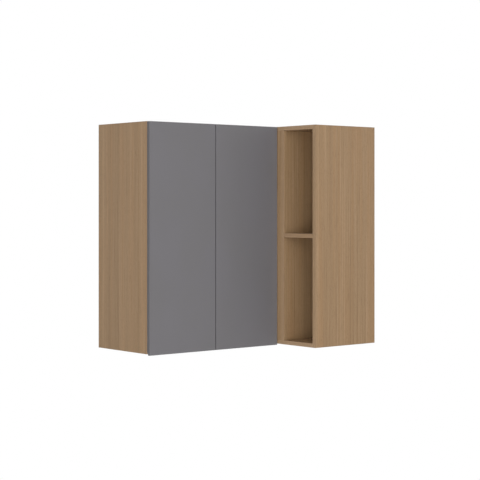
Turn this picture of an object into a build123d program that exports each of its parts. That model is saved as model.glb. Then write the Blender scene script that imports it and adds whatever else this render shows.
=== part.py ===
# Corner wall cabinet for a kitchen. A main cabinet with two plain doors hangs on
# one wall. At its right end an open niche unit comes forward along the other
# wall and faces sideways, along the doors.
#
# Millimetres, +Z up, doors facing -Y. While it is drawn, x = 0 is the left outer
# face, y = 0 the wall behind the doors and z = 0 the underside. On export the
# origin moves to the middle of the screw pattern on that wall.
from build123d import *
import math
import os

# Outer sizes
cabinet_height = 800.0
door_zone = 584.0          # left outer face to the open face of the niche
niche_depth = 300.0        # open face of the niche to the wall on the right
carcass_depth = 293.0      # wall to the front edges of the main carcass
niche_reach = 204.0        # front of the doors to the outer end of the niche

# Boards
board = 15.0
back_board = 3.0
board_edge = 0.5           # rounding on every board edge
rail_height = 80.0
groove_depth = 8.0         # the backs slide in grooves in the boards round them
groove_play = 0.1          # on each side of a back in its groove
groove_end_play = 0.5
stile_width = 80.0
swing_space = 20.0         # niche side to the front of the doors
joiner_flange = 2.0
joiner_web = 3.0
joiner_grip = 10.0         # how far the joiner strip laps over each back

# Shelves
main_shelf_height = 392.5  # underside above the underside of the cabinet
main_shelf_setback = 20.0
niche_shelf_height = 393.0
niche_shelf_setback = 1.0
shelf_play = 0.5
pin_hole_pitch = 32.0
pin_hole_rows = 5
pin_radius = 2.5
pin_depth = 9.0
pin_hole_depth = 10.0
pin_seat = (7.0, 8.0, 5.0)
front_line = 37.0          # first row of holes behind a front edge
rear_pin_line = 60.0       # rear row of holes in front of the wall

# Doors
door_thickness = 15.0
door_gap = 2.0             # carcass to the back of the doors
door_overhang = 4.0        # doors reach this far below the carcass, for the fingers
door_top_drop = 0.5
outer_reveal = 1.0
centre_gap = 3.0
niche_gap = 2.5
door_edge = 1.0
grip_depth = 7.0           # bevel behind the lower edge of a door
grip_height = 14.0
bumper_radius = 4.0
bumper_height = 1.8
bumper_inset = 12.0

# Fittings between the boards
cam_radius = 7.5
cam_height = 12.0
cam_inset = 24.0
cam_line = 45.0            # cams from the front and rear edges of a board
cam_slot = (1.4, 8.0, 2.0)
bolt_radius = 3.0
bolt_reach = 10.0          # bolt in the upright board
dowel_radius = 4.0
dowel_reach = 11.0         # dowel in the upright board
dowel_length = 30.0
dowel_line = 85.0
rail_dowel_offset = 22.0
fit = 0.05                 # radial play of every pin, bolt and dowel
joint_screw_radius = 2.5
joint_screw_length = 48.0
joint_screw_head = 3.6
joint_screw_head_height = 3.2
filler_screw_inset = 150.0 # from the ends of the cabinet, with one screw at mid height
stile_screw_inset = 20.0   # screws from the front and rear edges of the stile
screw_end_inset = 66.0     # screws from the ends of the blind panel and niche side
cut_margin = 1.0           # a cutter runs this far past the face that it opens

# Screw holes for the two walls
wall_hole_radius = 3.5
wall_hole_spacing = 700.0
niche_hole_spacing = 90.0

# Cup hinges. In a hinge's own plan, s runs from the inner face of the upright into
# the cabinet and v from the front edge of the carcass to the wall.
hinge_inset = 100.0        # top and bottom of the carcass to the hinges
cup_radius = 17.5
cup_wall = 1.0
cup_floor = 0.8
cup_depth = 11.4
cup_centre = 7.5
cup_flange = 1.0
cup_screw_offset = 5.5
cup_screw_spread = 26.0
flange_radius = 20.5
flange_trim = 1.5
flange_gate = 5.0          # half width of the gap in the flange where the links pass
ear_radius = 6.5
outer_pivot = (18.65, 9.0)       # outer link on the arm
inner_pivot = (20.58, -9.8)      # inner link on the arm
outer_cup_pin = (-3.94, -3.81)   # link pins in the cup, v from the back of the door
inner_cup_pin = (0.48, -6.37)
outer_link_bend = 8.0
inner_link_bend = 1.16
link_half_width = 1.25
pivot_eye = 2.0
cup_eye = 2.0
pin_eye_wall = 0.7
open_eye_play = 1.15       # the inner link is free on its cup pin
open_eye_shift = (0.04, -1.05)
hinge_pin_radius = 1.0
inner_link_half = 2.7      # half width of each layer along Z
outer_link_inside = 3.0
outer_link_outside = 4.2
arm_inside = 4.6
arm_outside = 5.8
link_web = 1.0
pin_end = 0.4
lug_width = 2.2
arm_back = 62.0
arm_height = 10.4
arm_web = 1.2
arm_lift = 2.4
arm_bend_line = 30.0       # where the arm starts to rise to its nose
arm_throat = 15.0
tip_angle = 26.5
web_stop = 6.0
plate_wing = (2.0, 14.0, 48.0)
plate_saddle_front = 22.0
plate_screw_pitch = 32.0
small_screw_radius = 1.8
small_head_radius = 3.4
small_head_height = 1.4
small_screw_length = 11.0
arm_screw_radius = 2.2
arm_screw_inset = 7.0      # screws from the bend and from the rear end of the arm
arm_screw_slot = (0.7, 4.0, 0.5)
saddle_play = 0.2          # saddle to each cheek of the arm
wing_rounding = 4.5

# Places worked out from the sizes above
cabinet_width = door_zone + niche_depth
door_back = -carcass_depth - door_gap
door_front = door_back - door_thickness
door_bottom = -door_overhang
door_top = cabinet_height - door_top_drop
niche_end = door_front - niche_reach
niche_side_back = door_front - swing_space
niche_side_front = niche_side_back - board
niche_inside_end = niche_end + board
rear_space = board         # depth behind the backs, taken up by the rails
inside_right = cabinet_width - board
under_top = cabinet_height - board
upper_rail_bottom = under_top - rail_height
lower_rail_top = board + rail_height
screw_heights = (board + rail_height / 2, under_top - rail_height / 2)
wall_centre_x = cabinet_width / 2
niche_centre_y = (niche_side_front + niche_inside_end) / 2
door_width = (door_zone - outer_reveal - centre_gap - niche_gap) / 2
hinge_heights = (hinge_inset, cabinet_height - hinge_inset)
filler_screw_heights = (filler_screw_inset, cabinet_height / 2, cabinet_height - filler_screw_inset)
arm_screw_lines = (arm_bend_line + arm_screw_inset, arm_back - arm_screw_inset)
flange_level = (-door_gap, -door_gap + cup_flange)   # back of the door to the top of the flange
origin = (wall_centre_x, 0.0, sum(screw_heights) / 2)

parts = {}


def block(x, y, z):
    """A box from three (low, high) pairs."""
    size = [high - low for low, high in (x, y, z)]
    middle = [(high + low) / 2 for low, high in (x, y, z)]
    return Pos(*middle) * Box(*size)


def panel(x, y, z):
    """A board with its edges slightly rounded."""
    solid = block(x, y, z)
    return fillet(solid.edges(), board_edge)


def rod(start, direction, radius, length):
    """A cylinder from a point along a direction."""
    plane = Plane(origin=start, z_dir=direction)
    return plane * (Pos(0, 0, length / 2) * Cylinder(radius, length))


def group(solids):
    return Compound(children=list(solids))


# Fittings between the boards. A joint stands at the middle of a board's end, with X running into the board.

def joint_places():
    """Every board end that is pulled up by cams: place of the cam joints and dowels."""
    cams, dowels = [], []
    for height in (board / 2, cabinet_height - board / 2):
        for x, turn in ((board, 0), (inside_right, 180)):
            for y in (-cam_line, cam_line - carcass_depth):
                cams.append(Location((x, y, height), (0, 0, turn)))
            for y in (-dowel_line, dowel_line - carcass_depth):
                dowels.append(Location((x, y, height), (0, 0, turn)))
        for x in (door_zone + cam_line, cabinet_width - cam_line):
            cams.append(Location((x, niche_inside_end, height), (0, 0, 90)))
        for x in (door_zone + dowel_line, cabinet_width - dowel_line):
            dowels.append(Location((x, niche_inside_end, height), (0, 0, 90)))
    shelf_middle = niche_shelf_height + board / 2
    for x in (door_zone + dowel_line, cabinet_width - dowel_line):
        dowels.append(Location((x, niche_inside_end, shelf_middle), (0, 0, 90)))
        dowels.append(Location((x, niche_side_front, shelf_middle), (0, 0, -90)))
    for height in screw_heights:
        for z in (height - rail_dowel_offset, height + rail_dowel_offset):
            dowels.append(Location((board, -board / 2, z), (0, 0, 0)))
            dowels.append(Location((inside_right, -board / 2, z), (0, 0, 180)))
            rail_x = cabinet_width - board / 2
            dowels.append(Location((rail_x, niche_inside_end, z), (0, 0, 90)))
            dowels.append(Location((rail_x, niche_side_front, z), (0, 0, -90)))
    return cams, dowels


def cam_housing():
    housing = Pos(cam_inset, 0, board / 2 - cam_height / 2) * Cylinder(cam_radius, cam_height)
    slot_width, slot_length, slot_depth = cam_slot
    for length, width in ((slot_length, slot_width), (slot_width, slot_length)):
        housing -= Pos(cam_inset, 0, board / 2 - slot_depth / 2) * Box(length, width, slot_depth)
    return housing


def cam_bore():
    return Pos(cam_inset, 0, board / 2 - cam_height / 2) * Cylinder(cam_radius + fit, cam_height)


def cam_bolt(play=0.0):
    """The bolt stops just short of the round housing."""
    length = bolt_reach + cam_inset - cam_radius - 2 * fit
    return rod((-bolt_reach - play, 0, 0), (1, 0, 0), bolt_radius + play, length + play)


def dowel(play=0.0):
    return rod((-dowel_reach - play, 0, 0), (1, 0, 0), dowel_radius + play, dowel_length + 2 * play)


def joint_screws():
    """Heads and directions of the long screws that join boards face to edge."""
    screws = []
    stile_x = door_zone - board / 2
    blind_y = -carcass_depth + board / 2
    side_y = niche_side_front + board / 2
    filler_y = (niche_side_back - carcass_depth) / 2
    spots = [(stile_x, -carcass_depth + stile_screw_inset),
             (stile_x, -carcass_depth + stile_width - stile_screw_inset)]
    for x in (door_zone + screw_end_inset, inside_right - screw_end_inset):
        spots += [(x, blind_y), (x, side_y)]
    for x in (door_zone + board / 2, cabinet_width - board / 2):
        spots.append((x, filler_y))
    for x, y in spots:
        screws.append(((x, y, cabinet_height), (0, 0, -1)))
        screws.append(((x, y, 0), (0, 0, 1)))
    for z in filler_screw_heights:
        screws.append(((door_zone + board / 2, -carcass_depth + board, z), (0, -1, 0)))
    return screws


def joint_screw(head, direction, play=0.0):
    shank = rod(head, direction, joint_screw_radius + play, joint_screw_length + play)
    return shank + rod(head, direction, joint_screw_head + play, joint_screw_head_height)


def make_fittings():
    """The fittings, and the bores that they need in the boards."""
    cams, dowels = joint_places()
    screws = joint_screws()
    parts["cam_housings"] = group(place * cam_housing() for place in cams)
    parts["cam_bolts"] = group(place * cam_bolt() for place in cams)
    parts["dowels"] = group(place * dowel() for place in dowels)
    parts["joining_screws"] = group(joint_screw(*screw) for screw in screws)
    bores = [place * cam_bore() for place in cams]
    bores += [place * cam_bolt(fit) for place in cams]
    bores += [place * dowel(fit) for place in dowels]
    bores += [joint_screw(*screw, fit) for screw in screws]
    return bores


def wall_screw_bores():
    """Clear holes through the rails and backs, for the screws into the two walls."""
    depth = rear_space + back_board + cut_margin
    bores = []
    for z in screw_heights:
        for side in (-1, 1):
            x = wall_centre_x + side * wall_hole_spacing / 2
            bores.append(rod((x, 0, z), (0, -1, 0), wall_hole_radius, depth))
            y = niche_centre_y + side * niche_hole_spacing / 2
            bores.append(rod((cabinet_width, y, z), (-1, 0, 0), wall_hole_radius, depth))
    return bores


def shelf_pin_places():
    """The five pins under the main shelf: a point on a face and the way into the board."""
    rear_y = -rear_pin_line
    front_y = -carcass_depth + front_line
    return [(board, front_y, -1), (board, rear_y, -1), (door_zone - board, front_y, 1),
            (inside_right, front_y, 1), (inside_right, rear_y, 1)]


def shelf_pin_bores():
    bores = []
    pin_z = main_shelf_height - pin_seat[2] / 2
    for x, y, way in shelf_pin_places():
        for row in range(pin_hole_rows):
            z = pin_z + (row - (pin_hole_rows - 1) / 2) * pin_hole_pitch
            bores.append(rod((x, y, z), (way, 0, 0), pin_radius + fit, pin_hole_depth))
    return bores


def shelf_pin(x, y, way):
    pin_z = main_shelf_height - pin_seat[2] / 2
    shank = rod((x, y, pin_z), (way, 0, 0), pin_radius, pin_depth)
    seat_length, seat_width, seat_height = pin_seat
    seat = Pos(x - way * seat_length / 2, y, pin_z) * Box(seat_length, seat_width, seat_height)
    return shank + seat


# The boards

def back_groove_cutter():
    """The space of the main back and its play, out to the bottom of the grooves."""
    low = board - groove_depth
    y = (-rear_space - back_board - groove_play, -rear_space + groove_play)
    return block((low, cabinet_width - low), y, (low, cabinet_height - low))


def niche_groove_cutter():
    low = board - groove_depth
    face = cabinet_width - rear_space
    x = (face - back_board - groove_play, face + groove_play)
    y = (niche_inside_end - groove_depth, niche_side_front + groove_depth)
    return block(x, y, (low, cabinet_height - low))


def drilled(solid, bores):
    """Cuts only the bores that reach the board's own box."""
    room = solid.bounding_box()
    for bore in bores:
        if room.overlaps(bore.bounding_box(), 0):
            solid -= bore
    return solid


def make_boards(bores):
    inside = (board, inside_right)
    upright = (board, under_top)
    full = (0, cabinet_height)
    main_y = (-carcass_depth, 0)
    niche_x = (door_zone, cabinet_width)
    niche_y = (niche_inside_end, -carcass_depth)
    inner_side_y = (niche_side_front, niche_side_back)
    filler_y = (niche_side_back, -carcass_depth)
    low_level = (0, board)
    high_level = (under_top, cabinet_height)
    rail_y = (-rear_space, 0)
    rail_x = (cabinet_width - rear_space, cabinet_width)
    niche_inside_y = (niche_inside_end, niche_side_front)
    upper_rail_z = (upper_rail_bottom, under_top)
    lower_rail_z = (board, lower_rail_top)
    stile_y = (-carcass_depth, -carcass_depth + stile_width)
    blind_y = (-carcass_depth, -carcass_depth + board)
    shelf_x = (door_zone + niche_shelf_setback, rail_x[0] - back_board - groove_play)
    shelf_z = (niche_shelf_height, niche_shelf_height + board)

    boards = {
        "left_side_panel": panel((0, board), main_y, full),
        "right_side_panel": panel((inside_right, cabinet_width), main_y, full),
        "top_panel": panel(inside, main_y, high_level),
        "bottom_panel": panel(inside, main_y, low_level),
        "hinge_stile": panel((door_zone - board, door_zone), stile_y, upright),
        "blind_front_panel": panel((door_zone, inside_right), blind_y, upright),
        "upper_hanging_rail": panel(inside, rail_y, upper_rail_z),
        "lower_hanging_rail": panel(inside, rail_y, lower_rail_z),
        "niche_top_panel": panel(niche_x, niche_y, high_level),
        "niche_bottom_panel": panel(niche_x, niche_y, low_level),
        "niche_outer_side": panel(niche_x, (niche_end, niche_inside_end), full),
        "niche_inner_side": panel(niche_x, inner_side_y, upright),
        "corner_filler": panel((door_zone, door_zone + board), filler_y, upright),
        "rear_batten": panel((inside_right, cabinet_width), filler_y, upright),
        "niche_upper_rail": panel(rail_x, niche_inside_y, upper_rail_z),
        "niche_lower_rail": panel(rail_x, niche_inside_y, lower_rail_z),
        "niche_shelf": panel(shelf_x, niche_inside_y, shelf_z),
    }
    main_groove = back_groove_cutter()
    niche_groove = niche_groove_cutter()
    for name in ("left_side_panel", "right_side_panel", "top_panel", "bottom_panel"):
        boards[name] -= main_groove
    for name in ("niche_top_panel", "niche_bottom_panel", "niche_outer_side", "niche_inner_side"):
        boards[name] -= niche_groove
    for name, solid in boards.items():
        parts[name] = drilled(solid, bores)


def make_main_shelf():
    """One wide shelf, notched round the stile that carries the right-hand door."""
    low_x, high_x = board + shelf_play, inside_right - shelf_play
    front = main_shelf_setback - carcass_depth
    rear = -rear_space - back_board - joiner_flange - groove_play - shelf_play
    notch_low, notch_high = door_zone - board - shelf_play, door_zone + shelf_play
    notch_rear = -carcass_depth + stile_width + shelf_play
    corners = [(low_x, front), (notch_low, front), (notch_low, notch_rear), (notch_high, notch_rear),
               (notch_high, front), (high_x, front), (high_x, rear), (low_x, rear)]
    outline = make_face(Polyline(*corners, close=True))
    shelf = extrude(Plane.XY.offset(main_shelf_height) * outline, board)
    parts["main_shelf"] = fillet(shelf.edges(), board_edge)
    parts["shelf_pins"] = group(shelf_pin(*place) for place in shelf_pin_places())


def make_backs(bores):
    """Two thin backs meet in an H-shaped strip. The niche has a back of its own."""
    low = board - groove_depth + groove_end_play
    z = (low, cabinet_height - low)
    y = (-rear_space - back_board, -rear_space)
    half_web = joiner_web / 2 + groove_play
    left = block((low, wall_centre_x - half_web), y, z)
    right = block((wall_centre_x + half_web, cabinet_width - low), y, z)
    parts["back_panel_left"] = drilled(left, bores)
    parts["back_panel_right"] = drilled(right, bores)

    lap = joiner_web / 2 + joiner_grip
    thick = joiner_flange + groove_play
    strip_x = (wall_centre_x - lap, wall_centre_x + lap)
    strip_y = (y[0] - thick, y[1] + thick)
    strip_z = (lower_rail_top + groove_play, upper_rail_bottom - groove_play)
    strip = block(strip_x, strip_y, strip_z)
    for side in (-1, 1):
        edges = (wall_centre_x + side * joiner_web / 2, wall_centre_x + side * (lap + cut_margin))
        strip -= block((min(edges), max(edges)), (y[0] - groove_play, y[1] + groove_play), strip_z)
    parts["back_joiner_strip"] = strip

    face = cabinet_width - rear_space
    niche_y = (niche_inside_end - groove_depth + groove_end_play,
               niche_side_front + groove_depth - groove_end_play)
    parts["niche_back_panel"] = drilled(block((face - back_board, face), niche_y, z), bores)


# The doors

def make_door(side, low_x):
    """A flat door. Its fingers' grip is a bevel behind the lower edge."""
    door = block((low_x, low_x + door_width), (door_front, door_back), (door_bottom, door_top))
    door = fillet(door.edges(), door_edge)
    profile = [(door_back, door_bottom), (door_back, door_bottom + grip_height),
               (door_back - grip_depth, door_bottom)]
    wedge = extrude(Plane.YZ * make_face(Polyline(*profile, close=True)), door_width + 2 * cut_margin)
    door -= Pos(low_x - cut_margin, 0, 0) * wedge
    for height in hinge_heights:
        place = hinge_place(side, height)
        door -= place * cup_bore()
        for screw in cup_screw_places():
            door -= place * small_screw(screw, fit)
    parts[side + "_door"] = door

    free_edge = low_x + door_width if side == "left" else low_x
    inward = -1 if side == "left" else 1
    bumpers = []
    for z_middle in (board / 2, cabinet_height - board / 2):
        spot = (free_edge + inward * bumper_inset, door_back, z_middle)
        bumpers.append(rod(spot, (0, 1, 0), bumper_radius, bumper_height))
    parts[side + "_door_bumpers"] = group(bumpers)


# The cup hinges. Each is drawn once in its own plan (X = s, Y = v, Z up, middle at 0),
# and the right-hand ones are its mirror image.

class HingePlace:
    """Location that can also mirror, used as place * solid."""

    def __init__(self, x, height, mirrored):
        self.location = Location((x, -carcass_depth, height))
        self.mirrored = mirrored

    def __mul__(self, solid):
        if self.mirrored:
            solid = mirror(solid, about=Plane.YZ)
        return self.location * solid


def hinge_place(side, height):
    """Puts a hinge solid on the left side panel or, mirrored, on the stile."""
    if side == "left":
        return HingePlace(board, height, False)
    return HingePlace(door_zone - board, height, True)


def cup_point(point):
    """From a depth behind the door's back face to v."""
    return (point[0], point[1] - door_gap)


def plate_shape(outline, low, high):
    """A flat outline in the hinge's plan, made solid between two heights."""
    return Pos(0, 0, low) * extrude(outline, high - low)


def both_sides(outline, inside, outside):
    return plate_shape(outline, inside, outside) + plate_shape(outline, -outside, -inside)


def disc(centre, radius):
    return Pos(*centre) * Circle(radius)


def link_outline(pivot, pin, bend, pivot_round, pin_round):
    """Two eyes joined by a bar, whose knee lies to the left on the way from pivot to pin."""
    middle = ((pivot[0] + pin[0]) / 2, (pivot[1] + pin[1]) / 2)
    length = math.dist(pivot, pin)
    across = ((pivot[1] - pin[1]) / length, (pin[0] - pivot[0]) / length)
    knee = (middle[0] + bend * across[0], middle[1] + bend * across[1])
    outline = disc(pivot, pivot_round) + disc(pin, pin_round) + disc(knee, link_half_width)
    for start, end in ((pivot, knee), (knee, pin)):
        outline += bar_outline(start, end, link_half_width)
    return outline


def bar_outline(start, end, half_width):
    length = math.dist(start, end)
    angle = math.degrees(math.atan2(end[1] - start[1], end[0] - start[0]))
    middle = ((start[0] + end[0]) / 2, (start[1] + end[1]) / 2)
    return Pos(*middle) * Rot(0, 0, angle) * Rectangle(length, 2 * half_width)


def outer_link():
    """Two cheeks and a web on the side of the wall."""
    pivot, pin = outer_pivot, cup_point(outer_cup_pin)
    outline = link_outline(pivot, pin, outer_link_bend, pivot_eye, cup_eye)
    link = plate_shape(outline, -outer_link_outside, outer_link_outside)
    link -= Pos(0, -link_web, 0) * plate_shape(outline, -outer_link_inside, outer_link_inside)
    for centre in (pivot, pin):
        link -= plate_shape(disc(centre, hinge_pin_radius + fit), -arm_outside, arm_outside)
    return link


def inner_link():
    """A solid link between the cheeks. Its eye on the cup pin is wide and stays free."""
    pivot, pin = inner_pivot, cup_point(inner_cup_pin)
    eye = (pin[0] + open_eye_shift[0], pin[1] + open_eye_shift[1])
    eye_hole = hinge_pin_radius + open_eye_play
    outline = link_outline(pivot, eye, inner_link_bend, pivot_eye, eye_hole + pin_eye_wall)
    link = plate_shape(outline, -inner_link_half, inner_link_half)
    link -= plate_shape(disc(pivot, hinge_pin_radius + fit), -arm_outside, arm_outside)
    link -= plate_shape(disc(eye, eye_hole), -arm_outside, arm_outside)
    return link


def hinge_pin(centre, half_length):
    return plate_shape(disc(centre, hinge_pin_radius), -half_length, half_length)


def arm_pins():
    return [hinge_pin(pivot, arm_outside + pin_end) for pivot in (outer_pivot, inner_pivot)]


def cup_pins():
    half = arm_inside + lug_width
    return [hinge_pin(cup_point(pin), half) for pin in (outer_cup_pin, inner_cup_pin)]


def cup_screw_places():
    """Head centres of the two screws that hold a cup, on its flange."""
    s, v = cup_centre + cup_screw_offset, flange_level[1]
    return [((s, v, z), (0, -1, 0)) for z in (-cup_screw_spread, cup_screw_spread)]


def plate_screw_places():
    """Seats of the two screws through a plate into the upright."""
    s, half_pitch = plate_wing[0], plate_screw_pitch / 2
    return [((s, front_line, z), (-1, 0, 0)) for z in (-half_pitch, half_pitch)]


def small_screw(place, play=0.0):
    """A screw with a low head that stands on its seat."""
    seat, direction = place
    screw = rod(seat, direction, small_screw_radius + play, small_screw_length + play)
    if not play:
        backward = tuple(-value for value in direction)
        screw += rod(seat, backward, small_head_radius, small_head_height)
    return screw


def cup_cylinder(radius, front, back):
    """A round slice about the cup's axis between two depths behind the door's back face."""
    return rod((cup_centre, front - door_gap, 0), (0, -1, 0), radius, front - back)


def cup_bore():
    return cup_cylinder(cup_radius + fit, 0, -cup_depth - fit)


def cup_lug(pins):
    """A cheek inside the cup that holds the two link pins."""
    outline = Sketch()
    floor = -door_gap - cup_depth + cup_floor / 2
    root = hinge_pin_radius + pin_eye_wall
    for pin in pins:
        outline += disc(pin, root)
        outline += Pos(pin[0], (pin[1] + floor) / 2) * Rectangle(2 * root, pin[1] - floor)
    outline += bar_outline(pins[0], pins[1], hinge_pin_radius)
    lug = both_sides(outline, arm_inside, arm_inside + lug_width)
    return lug & cup_cylinder(cup_radius - cup_wall / 2, 0, -cup_depth)


def hinge_cup():
    """A drawn cup with a flange and two ears for its screws."""
    ear = cup_centre + cup_screw_offset
    flange = cup_cylinder(flange_radius, cup_flange, 0)
    flange += block((ear - ear_radius, ear + ear_radius), flange_level, (-cup_screw_spread, cup_screw_spread))
    for z in (-cup_screw_spread, cup_screw_spread):
        flange += rod((ear, flange_level[0], z), (0, 1, 0), ear_radius, cup_flange)
    outside = cup_centre - flange_radius - cut_margin
    trimmed = (outside, cup_centre - cup_radius - flange_trim)
    flange -= block(trimmed, flange_level, (-flange_radius, flange_radius))
    flange -= block((outside, cup_centre), flange_level, (-flange_gate, flange_gate))
    cup = flange + cup_cylinder(cup_radius, 0, -cup_depth)
    cup -= cup_cylinder(cup_radius - cup_wall, cup_flange + cut_margin, cup_floor - cup_depth)
    cup += cup_lug([cup_point(outer_cup_pin), cup_point(inner_cup_pin)])
    for pin in (outer_cup_pin, inner_cup_pin):
        hole = disc(cup_point(pin), hinge_pin_radius + fit)
        cup -= plate_shape(hole, -arm_inside - lug_width, arm_inside + lug_width)
    for screw in cup_screw_places():
        cup -= small_screw(screw, fit)
    return cup


def arm_tip():
    """Where the straight top of the nose meets the round end at the outer pivot."""
    turn = math.radians(tip_angle)
    s, v = outer_pivot
    return (s + pivot_eye * math.cos(turn), v + pivot_eye * math.sin(turn))


def arm_outline():
    """Side view of the arm: a low body on the plate and a nose that carries the two pivots."""
    points = [(arm_lift, arm_back), (arm_height, arm_back), (arm_height, arm_bend_line),
              arm_tip(), (outer_pivot[0] - pivot_eye, outer_pivot[1]),
              (arm_height - arm_web, arm_throat), (arm_lift, plate_saddle_front)]
    outline = make_face(Polyline(*points, close=True))
    outline += disc(outer_pivot, pivot_eye) + disc(inner_pivot, pivot_eye)
    return outline + bar_outline(outer_pivot, inner_pivot, pivot_eye)


def hinge_arm():
    """A pressed channel: two cheeks under a web that faces into the cabinet."""
    arm = both_sides(arm_outline(), arm_inside, arm_outside)
    bend = (arm_height, arm_bend_line)
    tip = arm_tip()
    share = 1 - web_stop / math.dist(bend, tip)
    end = (bend[0] + share * (tip[0] - bend[0]), bend[1] + share * (tip[1] - bend[1]))
    web = [(arm_height, arm_back), bend, end, (end[0] - arm_web, end[1]),
           (bend[0] - arm_web, bend[1] - arm_web / 2), (arm_height - arm_web, arm_back)]
    arm += plate_shape(make_face(Polyline(*web, close=True)), -arm_outside, arm_outside)
    for centre in (outer_pivot, inner_pivot):
        arm -= plate_shape(disc(centre, hinge_pin_radius + fit), -arm_outside, arm_outside)
    for line in arm_screw_lines:
        arm -= rod((0, line, 0), (1, 0, 0), arm_screw_radius + fit, arm_height + cut_margin)
    return arm


def hinge_plate():
    """A cross-shaped plate with a raised saddle under the arm."""
    thickness, width, height = plate_wing
    wing = Pos(thickness / 2, front_line, 0) * Box(thickness, width, height)
    wing = fillet(wing.edges().filter_by(Axis.X), wing_rounding)
    saddle_half = arm_inside - saddle_play
    saddle_x = (0, arm_height - arm_web)
    saddle = block(saddle_x, (plate_saddle_front, arm_back), (-saddle_half, saddle_half))
    plate = wing + saddle
    for screw in plate_screw_places():
        plate -= small_screw(screw, fit)
    for line in arm_screw_lines:
        plate -= rod((thickness, line, 0), (1, 0, 0), arm_screw_radius + fit, arm_height)
    return plate


def arm_screw(line):
    """The fixing and adjusting screws: a shank in the saddle and a head on the arm."""
    start = plate_wing[0] + fit
    shank = rod((start, line, 0), (1, 0, 0), arm_screw_radius, arm_height - start)
    head = rod((arm_height, line, 0), (1, 0, 0), small_head_radius, small_head_height)
    slot_width, slot_length, slot_depth = arm_screw_slot
    slot_middle = arm_height + small_head_height - slot_depth / 2
    head -= Pos(slot_middle, line, 0) * Box(slot_depth, slot_width, slot_length)
    head -= Pos(slot_middle, line, 0) * Box(slot_depth, slot_length, slot_width)
    return shank + head


def make_hinges():
    arm_pin_set, plate_screw_set, arm_screw_set = [], [], []
    for side in ("left", "right"):
        cup_pin_set, cup_screw_set = [], []
        for level, height in zip(("lower", "upper"), hinge_heights):
            place = hinge_place(side, height)
            name = side + "_" + level + "_"
            parts[name + "hinge_plate"] = place * hinge_plate()
            parts[name + "hinge_arm"] = place * hinge_arm()
            parts[name + "outer_link"] = place * outer_link()
            parts[name + "inner_link"] = place * inner_link()
            parts[name + "hinge_cup"] = place * hinge_cup()
            arm_pin_set += [place * pin for pin in arm_pins()]
            cup_pin_set += [place * pin for pin in cup_pins()]
            cup_screw_set += [place * small_screw(screw) for screw in cup_screw_places()]
            plate_screw_set += [place * small_screw(screw) for screw in plate_screw_places()]
            arm_screw_set += [place * arm_screw(line) for line in arm_screw_lines]
        parts[side + "_cup_pins"] = group(cup_pin_set)
        parts[side + "_cup_screws"] = group(cup_screw_set)
    parts["hinge_arm_pins"] = group(arm_pin_set)
    parts["hinge_plate_screws"] = group(plate_screw_set)
    parts["hinge_arm_screws"] = group(arm_screw_set)


def hinge_plate_bores():
    """Holes in the left side panel and the stile for the screws of the plates."""
    bores = []
    for side in ("left", "right"):
        for height in hinge_heights:
            place = hinge_place(side, height)
            bores += [place * small_screw(screw, fit) for screw in plate_screw_places()]
    return bores


def main():
    os.makedirs("parts", exist_ok=True)
    fitting_bores = make_fittings()
    wall_bores = wall_screw_bores()
    make_boards(fitting_bores + wall_bores + shelf_pin_bores() + hinge_plate_bores())
    make_main_shelf()
    make_backs(wall_bores)
    make_door("left", outer_reveal)
    make_door("right", outer_reveal + door_width + centre_gap)
    make_hinges()
    for name, solid in parts.items():
        placed = Pos(-origin[0], -origin[1], -origin[2]) * solid
        export_step(placed, os.path.join("parts", name + ".step"))
    print(len(parts), "parts")


main()
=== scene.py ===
# Corner wall cabinet: oak-look melamine boards, two matt grey doors on cup hinges, and an open niche at
# the right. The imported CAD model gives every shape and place, in metres. This script adds the threaded
# and turned fasteners, the door buffers, materials, light, floor and camera.
import math

import bpy
import numpy as np
from mathutils import Euler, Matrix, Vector


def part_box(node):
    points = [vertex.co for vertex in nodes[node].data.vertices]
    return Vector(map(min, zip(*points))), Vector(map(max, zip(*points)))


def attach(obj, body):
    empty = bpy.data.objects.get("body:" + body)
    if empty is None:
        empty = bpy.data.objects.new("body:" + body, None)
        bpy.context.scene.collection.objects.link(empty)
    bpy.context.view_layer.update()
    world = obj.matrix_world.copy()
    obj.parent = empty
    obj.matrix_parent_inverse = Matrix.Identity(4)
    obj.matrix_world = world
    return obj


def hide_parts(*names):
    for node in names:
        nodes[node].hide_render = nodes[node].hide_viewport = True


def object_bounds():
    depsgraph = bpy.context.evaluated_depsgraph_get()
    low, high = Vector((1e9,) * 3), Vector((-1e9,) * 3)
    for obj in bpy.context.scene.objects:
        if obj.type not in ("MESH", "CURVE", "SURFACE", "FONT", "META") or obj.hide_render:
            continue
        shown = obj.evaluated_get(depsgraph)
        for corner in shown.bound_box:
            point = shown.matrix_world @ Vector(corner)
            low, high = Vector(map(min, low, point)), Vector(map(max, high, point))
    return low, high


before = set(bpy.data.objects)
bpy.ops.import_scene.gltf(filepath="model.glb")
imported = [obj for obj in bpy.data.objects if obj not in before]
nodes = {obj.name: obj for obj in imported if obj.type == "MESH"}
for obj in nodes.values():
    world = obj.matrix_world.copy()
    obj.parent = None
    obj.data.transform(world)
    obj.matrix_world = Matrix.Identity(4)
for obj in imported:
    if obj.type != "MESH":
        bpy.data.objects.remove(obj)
cadBox = [list(corner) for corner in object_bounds()]
millimetre = 0.001
print("frame loaded:", len(nodes), "CAD nodes")

# Camera, at the photograph's viewing angle
cameraPlan = {
    "place": (-3.203, -4.117, 0.1165),  # eye a little above the middle of the cabinet
    "yaw": -39.73,                      # degrees from looking along +Y, towards the niche
    "lens": 102.92,
    "sensor": 36.0,
    "shiftY": -0.0756,                  # the picture is framed below the horizon
    "farLimit": 60.0,
}


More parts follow.
